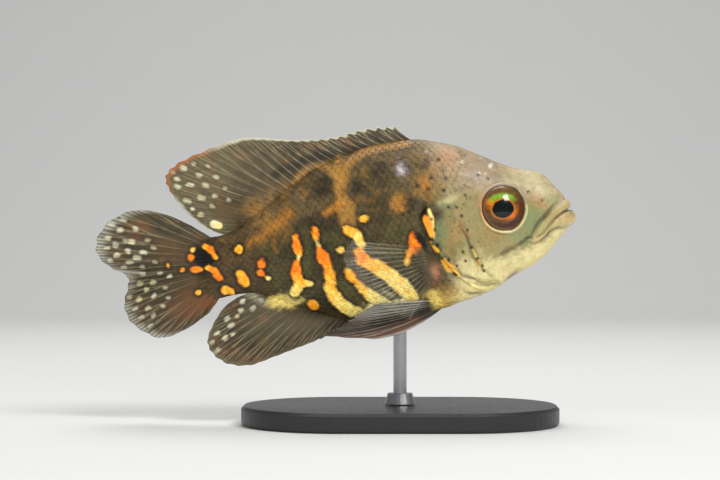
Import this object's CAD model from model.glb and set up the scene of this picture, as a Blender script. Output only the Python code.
import math

import bmesh
import bpy
import numpy as np
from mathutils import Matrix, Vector


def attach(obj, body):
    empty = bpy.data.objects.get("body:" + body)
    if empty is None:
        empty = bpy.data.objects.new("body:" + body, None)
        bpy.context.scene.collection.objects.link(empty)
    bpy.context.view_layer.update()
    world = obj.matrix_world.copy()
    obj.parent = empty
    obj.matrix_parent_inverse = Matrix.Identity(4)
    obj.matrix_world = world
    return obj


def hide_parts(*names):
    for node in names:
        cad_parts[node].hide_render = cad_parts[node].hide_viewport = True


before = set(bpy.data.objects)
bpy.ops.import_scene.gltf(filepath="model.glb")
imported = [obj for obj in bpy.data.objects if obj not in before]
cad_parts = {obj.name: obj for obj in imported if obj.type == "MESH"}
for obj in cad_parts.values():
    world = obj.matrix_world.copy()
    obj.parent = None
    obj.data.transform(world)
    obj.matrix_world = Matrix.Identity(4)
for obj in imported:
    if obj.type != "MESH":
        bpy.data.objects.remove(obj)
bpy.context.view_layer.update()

# The pose, as in the solids.
PITCH = math.radians(9.5)
BODY_HEIGHT = 40.0
MM = 0.001

# The photograph: its size and the fish's origin in px, px to a mm, and the lens assumed for it.
PHOTO_SIZE = (720, 480)
PHOTO_ORIGIN = (400.0, 232.0)
PHOTO_SCALE = 4.8
LENS = 100.0
SENSOR = 36.0

# The body's cross-sections, from snout to tail, as in the solids.
TOPS = [
    (35.3, -1.2), (34.9, 0), (34.3, 1.8), (33.3, 3.8), (31.7, 6.5), (29.3, 8.1), (26.2, 9), (22.9, 10.6),
    (19, 13.1), (14.3, 15.8), (10.5, 17.3), (6.3, 18.5), (0.5, 18.8), (-6.5, 18.2), (-13, 16.6),
    (-19, 14.2), (-25, 11), (-30.3, 8), (-34.5, 5.9), (-38.5, 5.4), (-41.6, 5.9),
]
BOTTOMS = [
    (35.3, -1.6), (35.6, -3.2), (34.8, -4.9), (33.2, -6.2), (31.4, -7.8), (28.9, -9.8), (25.7, -11.5),
    (22.2, -12.8), (18.7, -14.5), (14.3, -15.8), (9.9, -16.5), (5.6, -17.2), (0, -17.9), (-6.5, -17.7),
    (-13, -16.6), (-19, -14.1), (-25, -10.9), (-30.5, -8), (-35, -7.2), (-38.7, -7.4), (-41.8, -7.8),
]
HALVES = [0.2, 1.9, 2.9, 3.7, 4.6, 5.3, 5.9, 6.4, 6.9, 7.5, 7.9, 8, 7.8, 7.1, 6.1, 5, 3.9, 3, 2.2, 1.4, 0.8]
WAISTS = [0.5] * 8 + [0.48, 0.47, 0.47, 0.48, 0.48, 0.48, 0.49] + [0.5] * 6
BACK_PINCH = 1.12
BELLY_PINCH = 0.94

# The skin's grid: points round the body, and the spacing of its rings on the head and behind it.
SKIN_SIDES = 384
HEAD_SPACING = 0.13
BODY_SPACING = 0.27
HEAD_ENDS_X = 3.0
TAIL_WEDGE = 0.9  # how many sections the skin takes to thin out into the tail fin

# The eye, as in the solids but a hair further back, where the photograph's near camera shows it.
EYE = {"x": 21.6, "z": 1.3, "half": (4.75, 4.9), "depth": 2.6, "sunk": 1.3, "forward": 13, "up": 6}
EYE_SWELL = 0.22  # how far the cornea stands out of the eyeball
PUPIL = (2.2, 1.85)  # its half-size
PUPIL_MIDDLE = (-0.74, -0.35)  # off the eye's middle
EYE_RINGS = 90  # rings and sides of the eyeball's grid
EYE_SIDES = 128
ORBIT = (4.5, 4.66)  # the opening of the skin round the eyeball
NOSTRIL = (29.9, 1.5)
HEAD_BLEND = (6.5, 11.5)  # x from where to where the body's colours give way to the head's
LEFT_BLEND = ((8.0, 2.0), (-38.0, -28.0))  # x where the left flank's own markings start and end

UPPER_LIP = [(35, -0.15), (33.6, -0.5), (31.9, -1.4), (30.3, -2.7), (28.9, -4.1), (27.8, -5.2)]
LOWER_LIP = [(35.7, -2.75), (34, -2.95), (32.2, -3.5), (30.5, -4.6), (29, -5.9), (27.4, -6.6)]
MOUTH = [(36.8, -1.1), (35.3, -1.15), (33.4, -1.7), (31.6, -2.6), (30, -3.8), (28.5, -5.2), (26.8, -6.1)]
GILL_OPENING = [
    (9.3, 5.2), (6, 4.1), (4.9, 2.6), (4.7, 0.5), (5.4, -2), (6.4, -4.9), (7.7, -7.2), (9.3, -9.8),
    (11.1, -12), (13.5, -14.1), (16.5, -15.6),
]

# The scales, in mm.
SCALE_COLUMN = 1.36  # spacing along the body
SCALE_ROW = 1.2  # spacing between rows at the deepest part
SCALE_LENGTH = 2.05
SCALE_WIDTH = 1.75
SCALE_LIFT = 0.037  # how far the free end stands out
SCALE_SUNK = 0.07  # how deep the root lies
SCALE_THICKNESS = 0.13
FIRST_SCALE = 18.0  # distance of the first scales from the snout, along the waist
SCALES_START_X = 15.5  # no scale grows in front of this, give or take a ragged edge
SCALES_END_X = -39.8  # nor behind this, at the tail fin's root
SCALE_COLUMNS = 92
SCALE_ROWS = 24  # to each side of the waist
SCALE_GRID = 6  # points along and across one scale
SCALE_PATCH = 0.003  # how large one scale is on the coat's map
CHEEK_SCALE = 1.05  # spacing of the small scales of the cheek
AT_ONCE = 20000  # places looked up on the flank in one go

# The fins: grid columns from ray to ray, and where the rays start to fork.
FIN_COLUMNS = 16
RAY_FORKS = 0.42
SPINY = 0.42  # the share of the dorsal fin that has spines
CAUDAL_FOLD = 6.5  # how far the tail's lower half sweeps to the fish's left, in mm
PECTORAL_LEFT_SWEEP = math.radians(14)

# Fin guides, root and tip of a ray, as in the solids.
DORSAL = [
    ((7.6, 17), (2.3, 22)), ((4.2, 17.4), (-1.2, 22.4)), ((0.6, 17.4), (-5.6, 22.5)),
    ((-3.2, 17.2), (-9.4, 21.9)), ((-6.6, 16.6), (-13.4, 22)), ((-10, 15.8), (-17.4, 22.4)),
    ((-13.4, 14.8), (-21.5, 23.2)), ((-16.6, 13.6), (-25.5, 24.2)), ((-19.4, 12.4), (-29.7, 24.8)),
    ((-21.8, 11.2), (-36.4, 23.7)), ((-23.8, 10.1), (-43.2, 21.9)), ((-25.6, 9.1), (-46.4, 19.6)),
    ((-27.4, 8.2), (-46, 16.4)), ((-29, 7.3), (-44, 12.4)), ((-30.6, 6.5), (-41.2, 9)),
    ((-32.2, 5.7), (-38.4, 6.6)), ((-33.4, 5.2), (-36, 5.5)),
]
ANAL = [
    ((-12.4, -15.6), (-16.2, -18.1)), ((-14, -15.1), (-19.2, -19.1)), ((-15.6, -14.5), (-22.2, -19.7)),
    ((-17.2, -13.8), (-26.2, -20.5)), ((-18.9, -12.9), (-30.6, -21.4)), ((-20.6, -12), (-35.4, -22.2)),
    ((-22.4, -11.1), (-39.8, -21.2)), ((-24.2, -10.1), (-42.6, -18.6)), ((-26, -9.2), (-43.3, -15.8)),
    ((-27.8, -8.3), (-41.7, -12.7)), ((-29.4, -7.5), (-38.8, -9.5)), ((-30.8, -7), (-35.8, -7.9)),
]
CAUDAL = [
    ((-38, 4.4), (-42.6, 8.4)), ((-39, 4.2), (-47.6, 11.7)), ((-39.6, 3.6), (-53.6, 13.6)),
    ((-40, 2.9), (-59.2, 12.3)), ((-40.2, 2.2), (-62.5, 9)), ((-40.3, 1.4), (-62.9, 5.7)),
    ((-40.3, 0.6), (-60.9, 2.6)), ((-40.4, -0.4), (-58.4, 0.3)), ((-40.4, -1.4), (-58.7, -2.2)),
    ((-40.4, -2.3), (-59.9, -5.2)), ((-40.3, -3.2), (-59.4, -8.7)), ((-40.2, -4), (-56.9, -11.6)),
    ((-39.9, -4.9), (-53, -13.7)), ((-39.5, -5.8), (-47.6, -12.7)), ((-38.6, -6.5), (-42.2, -10.1)),
]
PECTORAL = [
    ((4.9, 6.9, -4.4), (-10.2, 12, 0)), ((4.9, 7, -5.3), (-12.4, 14.2, -2.4)),
    ((4.9, 7, -6.3), (-12, 15.9, -5.8)), ((4.9, 6.9, -7.3), (-10, 16.6, -9.4)),
    ((5, 6.7, -8.3), (-7.2, 16.4, -12.8)), ((5.1, 6.5, -9.3), (-4.2, 15.2, -15.8)),
    ((5.3, 6.2, -10.2), (-1.2, 13, -18)),
]
PELVIC = [
    ((7.2, 1.7, -16), (-9, 4.6, -20.9)), ((6.7, 2.2, -16), (-18.9, 5.6, -18.5)),
    ((6.2, 2.8, -15.9), (-16.4, 6.4, -17.4)), ((5.7, 3.4, -15.7), (-13.6, 7, -16.2)),
    ((5.2, 4, -15.4), (-10.8, 7.6, -14.9)), ((4.7, 4.6, -15), (-7.4, 8, -13.7)),
]

# Colours, 0 to 255 as the photograph shows them.
COLOURS = {
    "back": (104, 88, 60), "flank": (80, 71, 43), "belly": (196, 172, 96), "crown": (152, 133, 104),
    "cheek": (148, 136, 92), "throat": (234, 220, 162), "chin": (216, 204, 152), "snout": (183, 171, 133),
    "green": (128, 139, 96), "ochre": (162, 122, 60), "blotch": (62, 54, 35), "dark": (36, 31, 19),
    "black": (18, 16, 12), "orange": (243, 132, 26), "yellow": (250, 184, 54), "straw": (255, 233, 142),
    "ember": (250, 126, 8), "olive": (84, 82, 42), "umber": (38, 28, 18), "amber": (186, 128, 52),
    "cream": (242, 230, 178), "rust": (176, 104, 52), "pink": (214, 150, 116), "grey": (150, 140, 128),
    "scar": (140, 130, 136), "peduncle": (84, 68, 42), "lip": (184, 166, 114), "white": (226, 222, 205),
    "web": (70, 61, 43), "web_pale": (118, 109, 80), "ray": (140, 131, 98), "fin_dark": (54, 46, 31),
    "spot": (236, 234, 204), "smoke": (70, 66, 50), "iris": (74, 36, 16), "iris_top": (96, 70, 36),
    "iris_low": (52, 22, 10), "iris_olive": (96, 66, 26), "iris_green": (112, 152, 44),
    "iris_orange": (222, 106, 20), "iris_ring": (190, 108, 34), "iris_rim": (84, 56, 34),
    "iris_edge": (132, 104, 78), "pupil": (9, 17, 15),
}
CONTRAST = 1.13  # makes up for the pale light of the studio


def linear(rgb):
    """A colour of 0 to 255 as linear light."""
    c = np.asarray(rgb, float) / 255
    return np.where(c <= 0.04045, c / 12.92, ((c + 0.055) / 1.055) ** 2.4)


PAINT = {name: linear(rgb) for name, rgb in COLOURS.items()}


def from_photo(points):
    """Pixels of the photograph to x and z of the fish's own frame."""
    p = np.asarray(points, float).reshape(-1, 2)
    dx = (p[:, 0] - PHOTO_ORIGIN[0]) / PHOTO_SCALE
    dz = (PHOTO_ORIGIN[1] - p[:, 1]) / PHOTO_SCALE
    c, s = math.cos(PITCH), math.sin(PITCH)
    return np.stack([dx * c + dz * s, -dx * s + dz * c], 1)


def posed(points):
    """Points of the fish's own frame, in millimetres, to the part's frame in metres."""
    p = np.asarray(points, float)
    c, s = math.cos(PITCH), math.sin(PITCH)
    x = p[..., 0] * c - p[..., 2] * s
    z = p[..., 0] * s + p[..., 2] * c + BODY_HEIGHT
    return np.stack([x, p[..., 1], z], -1) * MM


def catmull(knots, t):
    """A smooth run through evenly numbered knots, at the numbers t."""
    k = np.asarray(knots, float)
    if k.ndim == 1:
        return catmull(k[:, None], t)[..., 0]
    t = np.asarray(t, float)
    i = np.clip(np.floor(t).astype(int), 0, len(k) - 2)
    f = (t - i)[..., None]
    k = np.vstack([2 * k[0] - k[1], k, 2 * k[-1] - k[-2]])
    a, b, c, d = k[i], k[i + 1], k[i + 2], k[i + 3]
    return b + 0.5 * f * (c - a + f * (2 * a - 5 * b + 4 * c - d + f * (3 * (b - c) + d - a)))


def ease(low, high, value):
    """0 up to low and 1 from high on, with a smooth rise between, or a fall if low is the larger."""
    f = np.clip((value - low) / (high - low), 0, 1)
    return f * f * (3 - 2 * f)


def noise(points, size, seed):
    """Smooth noise of -1 to 1 over points, with bumps about size across."""
    lattice = np.random.default_rng(seed).uniform(-1, 1, (32, 32, 32))
    p = np.asarray(points, float) / size + 100
    i = np.floor(p).astype(int)
    f = p - i
    f = f * f * (3 - 2 * f)
    total = 0
    for corner in range(8):
        step = np.array([corner & 1, corner >> 1 & 1, corner >> 2 & 1])
        weight = np.prod(np.where(step, f, 1 - f), axis=-1)
        j = (i + step) % 32
        total = total + weight * lattice[j[..., 0], j[..., 1], j[..., 2]]
    return total


def along_stroke(x, z, points):
    """Distance to a line of points, how far along the line that is, and on which side it lies."""
    best = np.full(x.shape, 1e9)
    where = np.zeros(x.shape)
    side = np.zeros(x.shape)
    points = np.asarray(points, float)
    if len(points) == 1:
        return np.hypot(x - points[0, 0], z - points[0, 1]), where, side
    for n in range(len(points) - 1):
        a, b = points[n], points[n + 1]
        d = b - a
        f = np.clip(((x - a[0]) * d[0] + (z - a[1]) * d[1]) / (d @ d), 0, 1)
        away = np.hypot(x - a[0] - f * d[0], z - a[1] - f * d[1])
        closer = away < best
        best = np.where(closer, away, best)
        where = np.where(closer, (n + f) / (len(points) - 1), where)
        side = np.where(closer, np.sign(d[0] * (z - a[1]) - d[1] * (x - a[0])), side)
    return best, where, side


def spread(values, where):
    """Values given at even steps along a stroke, read off at shares of its length."""
    return np.interp(where, np.linspace(0, 1, np.size(values)), np.atleast_1d(values))


# Meshes.
def outward(points, faces):
    """Faces of a closed mesh, turned over if they look inward."""
    a, b, c, d = (points[faces[:, k]] for k in (0, 1, 2, -1))
    volume = np.einsum("ij,ij->i", a, np.cross(b, c)).sum()
    if faces.shape[1] == 4:
        volume += np.einsum("ij,ij->i", a, np.cross(c, d)).sum()
    return faces[:, ::-1] if volume < 0 else faces


def grid_faces(rows, columns, wrap=False, flip=False, start=0):
    """Quads over a grid of points numbered row by row."""
    i = np.arange(rows - 1)[:, None]
    j = np.arange(columns if wrap else columns - 1)[None, :]
    a = i * columns + j
    b = i * columns + (j + 1) % columns
    quads = np.stack([a, b, b + columns, a + columns], -1).reshape(-1, 4) + start
    return quads[:, ::-1] if flip else quads


def end_fans(rows, columns, first_end, last_end, flip=False):
    """Triangles from a point to the first ring of a wrapped grid, and from another to its last ring."""
    j = np.arange(columns)
    k = (j + 1) % columns
    last = (rows - 1) * columns
    first = np.stack([np.full(columns, first_end), j, k], 1)
    second = np.stack([np.full(columns, last_end), last + k, last + j], 1)
    fans = np.vstack([first, second])
    return fans[:, ::-1] if flip else fans


def new_mesh(name, vertices, faces, colours, clear=None, uv=None, uv_name="UVMap", smooth=None):
    """A mesh from points of the fish's frame, with its colours at the points."""
    where = posed(vertices)
    faces = outward(where - where.mean(0), np.asarray(faces, np.int32))
    starts = np.arange(0, faces.size, faces.shape[1], dtype=np.int32)
    mesh = bpy.data.meshes.new(name)
    mesh.vertices.add(len(where))
    mesh.vertices.foreach_set("co", where.astype(np.float32).ravel())
    mesh.loops.add(faces.size)
    mesh.loops.foreach_set("vertex_index", faces.ravel())
    mesh.polygons.add(len(faces))
    mesh.polygons.foreach_set("loop_start", starts)
    mesh.polygons.foreach_set("use_smooth", np.ones(len(faces), bool) if smooth is None else smooth)
    if uv is not None:
        layer = mesh.uv_layers.new(name=uv_name)
        layer.data.foreach_set("uv", np.asarray(uv)[faces.ravel()].astype(np.float32).ravel())
    rgba = np.ones((len(where), 4), np.float32)
    rgba[:, :3] = colours
    layer = mesh.color_attributes.new("Paint", "FLOAT_COLOR", "POINT")
    layer.data.foreach_set("color", rgba.ravel())
    if clear is not None:
        layer = mesh.attributes.new("Clear", "FLOAT", "POINT")
        layer.data.foreach_set("value", np.asarray(clear, np.float32).ravel())
    mesh.update(calc_edges=True)
    mesh.validate()
    return in_scene(name, mesh)


def in_scene(name, data):
    obj = bpy.data.objects.new(name, data)
    bpy.context.scene.collection.objects.link(obj)
    return obj


def ride(obj, material, slot, *nodes):
    """Gives a piece its finish, and says what it rides on and which solids it stands for."""
    obj.data.materials.append(material)
    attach(obj, "root")
    if nodes:
        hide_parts(*nodes)


# Materials.
def new_material(name):
    material = bpy.data.materials.new(name)
    material.use_nodes = True
    tree = material.node_tree
    return material, tree, tree.nodes["Principled BSDF"]


def add_node(tree, kind, **values):
    """A node with its settings, or the values of its sockets."""
    node = tree.nodes.new(kind)
    for key, value in values.items():
        if hasattr(node, key):
            setattr(node, key, value)
        else:
            node.inputs[key.replace("_", " ")].default_value = value
    return node


def noise_node(tree, scale, detail, roughness=0.6):
    node = add_node(tree, "ShaderNodeTexNoise", Scale=scale, Detail=detail, Roughness=roughness)
    where = add_node(tree, "ShaderNodeTexCoord")
    tree.links.new(where.outputs["Object"], node.inputs["Vector"])
    return node.outputs["Fac"]


def ramp(tree, source, low, high):
    """A noise's middle range, stretched to run from low to high."""
    node = add_node(tree, "ShaderNodeMapRange", From_Min=0.3, From_Max=0.7, To_Min=low, To_Max=high)
    tree.links.new(source, node.inputs["Value"])
    return node.outputs["Result"]


def finish(name, scale, detail, rough, bump=0.0, **settings):
    """A material with one fine grain in its roughness and relief, and its shader's plain settings."""
    material, tree, shader = new_material(name)
    grain = noise_node(tree, scale, detail)
    tree.links.new(ramp(tree, grain, *rough), shader.inputs["Roughness"])
    if bump:
        relief_node = add_node(tree, "ShaderNodeBump", Strength=bump, Distance=0.0001)
        tree.links.new(grain, relief_node.inputs["Height"])
        tree.links.new(relief_node.outputs["Normal"], shader.inputs["Normal"])
    for key, value in settings.items():
        shader.inputs[key.replace("_", " ")].default_value = value
    return material, tree, shader, grain


def painted(name, scale, rough, bump, mottle, clear=False, **settings):
    """A finish that takes its colour from the mesh's paint, mottled."""
    material, tree, shader, _ = finish(
        name, scale, 5.0, rough, bump, Coat_Roughness=0.26, IOR=1.36, **settings)
    paint = add_node(tree, "ShaderNodeVertexColor", layer_name="Paint")
    shade = ramp(tree, noise_node(tree, scale * 0.7, 6.0, 0.7), 1 - mottle, 1 + mottle)
    mixed = add_node(tree, "ShaderNodeVectorMath", operation="SCALE")
    tree.links.new(paint.outputs["Color"], mixed.inputs[0])
    tree.links.new(shade, mixed.inputs["Scale"])
    tree.links.new(mixed.outputs["Vector"], shader.inputs["Base Color"])
    if clear:
        opacity = add_node(tree, "ShaderNodeAttribute", attribute_name="Clear")
        tree.links.new(opacity.outputs["Fac"], shader.inputs["Alpha"])
    return material


def eye_finish():
    material, tree, shader, _ = finish(
        "Eye", 3000, 3.0, (0.18, 0.3), Coat_Weight=0.55, Coat_Roughness=0.02, IOR=1.2)
    paint = add_node(tree, "ShaderNodeVertexColor", layer_name="Paint")
    tree.links.new(paint.outputs["Color"], shader.inputs["Base Color"])
    return material


def stand_finish():
    material, tree, shader, grain = finish("Stand", 900, 5.0, (0.34, 0.46), 0.15)
    dark, pale = (0.012, 0.012, 0.013, 1), (0.022, 0.022, 0.023, 1)
    shade = add_node(tree, "ShaderNodeMixRGB", Color1=dark, Color2=pale)
    tree.links.new(grain, shade.inputs["Fac"])
    tree.links.new(shade.outputs["Color"], shader.inputs["Base Color"])
    return material


# The skin's shape.
def body_rings():
    """Section numbers of the skin's rings, closer together on the head."""
    t = np.linspace(0, len(TOPS) - 1, 4001)
    top, bottom = catmull(TOPS, t), catmull(BOTTOMS, t)
    middle_x = (top[:, 0] + bottom[:, 0]) / 2
    step = np.maximum(np.hypot(*np.diff(top, axis=0).T), np.hypot(*np.diff(bottom, axis=0).T))
    spacing = np.where(middle_x[1:] > HEAD_ENDS_X, HEAD_SPACING, BODY_SPACING)
    count = np.concatenate([[0], np.cumsum(step / spacing)])
    return np.interp(np.linspace(0, count[-1], int(count[-1])), count, t)


def body_grid(t):
    angle = np.arange(SKIN_SIDES) * 2 * math.pi / SKIN_SIDES
    top, bottom = catmull(TOPS, t)[:, None, :], catmull(BOTTOMS, t)[:, None, :]
    waist, half = catmull(WAISTS, t)[:, None], catmull(HALVES, t)[:, None]
    half = half * (0.12 + 0.88 * ease(len(TOPS) - 1.0, len(TOPS) - 1.0 - TAIL_WEDGE, t)[:, None])
    rise, across = np.sin(angle)[None, :], np.cos(angle)[None, :]
    share = waist + np.where(rise > 0, 1 - waist, waist) * rise
    pinch = np.where(rise > 0, BACK_PINCH, BELLY_PINCH)
    y = half * np.sign(across) * np.abs(across) ** pinch
    xz = bottom + (top - bottom) * share[..., None]
    return np.stack([xz[..., 0], y, xz[..., 1]], -1)


def grid_normals(grid):
    along = np.gradient(grid, axis=0)
    around = np.roll(grid, -1, axis=1) - np.roll(grid, 1, axis=1)
    n = np.cross(along, around)
    length = np.linalg.norm(n, axis=-1, keepdims=True)
    return n / np.maximum(length, 1e-9)


PROFILE_TOP = np.array(TOPS[:0:-1])
PROFILE_BOTTOM = np.array(BOTTOMS[:0:-1])


def height_share(x, z):
    """0 at the belly's edge and 1 at the back's, in side view."""
    top = np.interp(x, PROFILE_TOP[:, 0], PROFILE_TOP[:, 1])
    bottom = np.interp(x, PROFILE_BOTTOM[:, 0], PROFILE_BOTTOM[:, 1])
    return np.clip((z - bottom) / np.maximum(top - bottom, 0.5), 0, 1)


def half_width(x, z):
    """The plain body's half-width at one point of its side view."""
    low, high = 0.0, len(TOPS) - 1.0
    share = 0.5
    for _ in range(40):
        t = (low + high) / 2
        top, bottom = catmull(TOPS, t), catmull(BOTTOMS, t)
        share = min(max((z - bottom[1]) / (top[1] - bottom[1]), 0), 1)
        if bottom[0] + (top[0] - bottom[0]) * share > x:
            low = t
        else:
            high = t
    waist = float(catmull(WAISTS, low))
    rise = (share - waist) / (1 - waist) if share > waist else (waist - share) / waist
    pinch = BACK_PINCH if share > waist else BELLY_PINCH
    return float(catmull(HALVES, low)) * math.sqrt(max(0.0, 1 - rise * rise)) ** pinch


# Folds of the head: places in the photograph, half-width in mm, height in mm (below 0 for a groove).
FOLDS = [
    ([(555, 203), (549.3, 208), (545.7, 212), (541.4, 216.6), (537, 221.6), (533.9, 227), (531.8, 232),
      (531.3, 237)], 0.36, -0.4),
    ([(558, 203), (551, 208), (543, 214), (535, 222), (530, 229)], 0.9, 0.14),
    ([(568, 227), (561, 228.5), (554, 228), (548, 231), (543, 236), (538, 241), (533, 243.5), (528, 243)],
     0.36, -0.36),
    ([(560, 222), (553, 223), (546, 227), (540, 233), (534, 238.5)], 0.5, 0.2),
    ([(531, 233), (527, 238), (521, 242.5), (511, 248), (501, 253.5), (493, 258)], 0.5, -0.4),
    ([(524, 236), (516, 241), (506, 246), (497, 251)], 1.3, 0.22),
    ([(492, 259), (488, 261), (484, 261)], 0.5, -0.15), ([(523, 239), (528, 238), (532, 240)], 0.25, -0.3),
    ([(457, 222), (462, 232), (467, 245), (472, 257), (479, 268), (490, 276)], 0.4, -0.22),
    ([(462, 222), (467, 234), (472, 247), (477, 258), (484, 267)], 0.8, 0.14),
    ([(444, 262), (455, 270), (468, 277), (482, 281), (497, 281)], 0.35, -0.2),
    ([(470, 282), (484, 284), (498, 284)], 0.35, -0.3), ([(462, 291), (472, 294), (484, 292)], 0.35, -0.25),
    ([(480, 287), (490, 287), (500, 284)], 0.8, 0.2), ([(519, 270), (512, 276), (505, 281)], 0.6, -0.18),
    ([(480, 183), (470, 195), (466, 208)], 2.2, 0.16), ([(527, 186), (538, 191), (548, 197)], 1.4, 0.12),
    ([(550, 188), (558, 195), (565, 199), (570, 201)], 1.1, 0.55),
]
SHADED_FOLD = -0.17  # deeper folds are painted darker, too
# Swellings of the flesh: middle, reach along and up, height, and how sharply it falls off.
SWELLINGS = {
    "pectoral root": ((5.2, -7.3), (1.5, 3.4), 0.9, 1.2),
    "pelvic root": ((6.4, -16.0), (2.4, 0.9), 0.35, 1.0),
    "cheek": ((17.5, -5.0), (3.0, 3.5), 0.25, 1.0),
    "nape": ((12.0, 10.0), (5.0, 3.0), 0.2, 1.0),
}
# Unevenness of the skin: height, size of the bumps, seed.
BUMPS = [(0.07, 3.0, 3), (0.03, 1.1, 4), (0.012, 0.45, 5)]


def cheek_scales(x, z, places):
    """Height of the cheek's small overlapping scales, 0 to 1, which wander a little."""
    x = x + 0.3 * noise(places, 3.0, 6)
    z = z + 0.3 * noise(places, 3.0, 7)
    best = np.zeros(x.shape)
    for shift in (0.0, 0.5):
        a, b = x / CHEEK_SCALE + shift, z / (CHEEK_SCALE * 1.1) + shift
        da, db = a - np.round(a), b - np.round(b)
        tile = np.clip(1 - (da * da + db * db) * 3.2, 0, 1) * (0.65 - da)
        best = np.maximum(best, tile)
    return best


def orbit_reach(x, z):
    """How far out places are from the eye's middle, 1 being the edge of the orbit."""
    return np.hypot((x - EYE["x"]) / ORBIT[0], (z - EYE["z"]) / ORBIT[1])


def from_nostril(x, z):
    return np.hypot(x - NOSTRIL[0], (z - NOSTRIL[1]) * 0.85)


def lip(x, z, points, widths, heights, edge):
    far, where, _ = along_stroke(x, z, points)
    return spread(heights, where) * np.clip(1 - (far / spread(widths, where)) ** 2, 0, 1) ** edge


def relief(x, z, side_y):
    """How far the skin stands out of the plain body at places of its side view, in mm."""
    upper = lip(x, z, UPPER_LIP, [1.1, 1.05, 1.0, 1.05, 1.1, 0.6], [0.9, 0.62, 0.5, 0.46, 0.44, 0.2], 0.9)
    lower = lip(x, z, LOWER_LIP, [1.9, 1.4, 1.1, 0.95, 0.8, 0.5], [1.0, 0.72, 0.58, 0.52, 0.45, 0.2], 0.65)
    out = np.maximum(upper, lower)
    far, where, _ = along_stroke(x, z, MOUTH)
    depth = (0.36 + 0.4 * ease(0.4, 0.1, where)) * ease(1.0, 0.85, where)
    out -= depth * np.exp(-((far / 0.17) ** 2))
    for places_px, width, height in FOLDS:
        far, where, _ = along_stroke(x, z, from_photo(places_px))
        ends = np.sin(math.pi * np.clip(where, 0.08, 0.92)) ** 0.5
        out += height * ends * np.exp(-((far / width) ** 2))
    # The gill cover's free edge stands proud of the shoulder behind it.
    far, where, side = along_stroke(x, z, GILL_OPENING)
    fade = ease(0.0, 0.12, where) * ease(1.0, 0.85, where)
    front = 0.5 * np.exp(-((far / 3.0) ** 2))
    behind = -0.38 * np.exp(-((far / 0.7) ** 2))
    out += fade * (behind + (front - behind) * ease(-0.12, 0.12, far * side))
    # The orbit: a smooth rim round a bowl that the eyeball fills.
    reach = orbit_reach(x, z)
    out += 0.42 * np.exp(-(((reach - 1.06) / 0.07) ** 2)) - 2.6 * ease(1.0, 0.93, reach)
    far = from_nostril(x, z)
    out += 0.12 * np.exp(-(((far - 0.6) / 0.22) ** 2)) - 0.35 * np.exp(-((far / 0.28) ** 2))
    for middle, size, height, fall in SWELLINGS.values():
        far = np.hypot((x - middle[0]) / size[0], (z - middle[1]) / size[1])
        out += height * np.exp(-(far ** 2) * fall)
    places = np.stack([x, side_y * 9.0, z], -1)
    for height, size, seed in BUMPS:
        out += height * noise(places, size, seed)
    scaly = ease(6.5, 9.0, x) * ease(21.0, 17.0, x) * ease(7.0, 3.0, z)
    scaly = scaly * ease(-14.0, -9.0, z) * ease(1.15, 1.4, reach)
    return out + 0.15 * scaly * cheek_scales(x, z, places)


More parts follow.
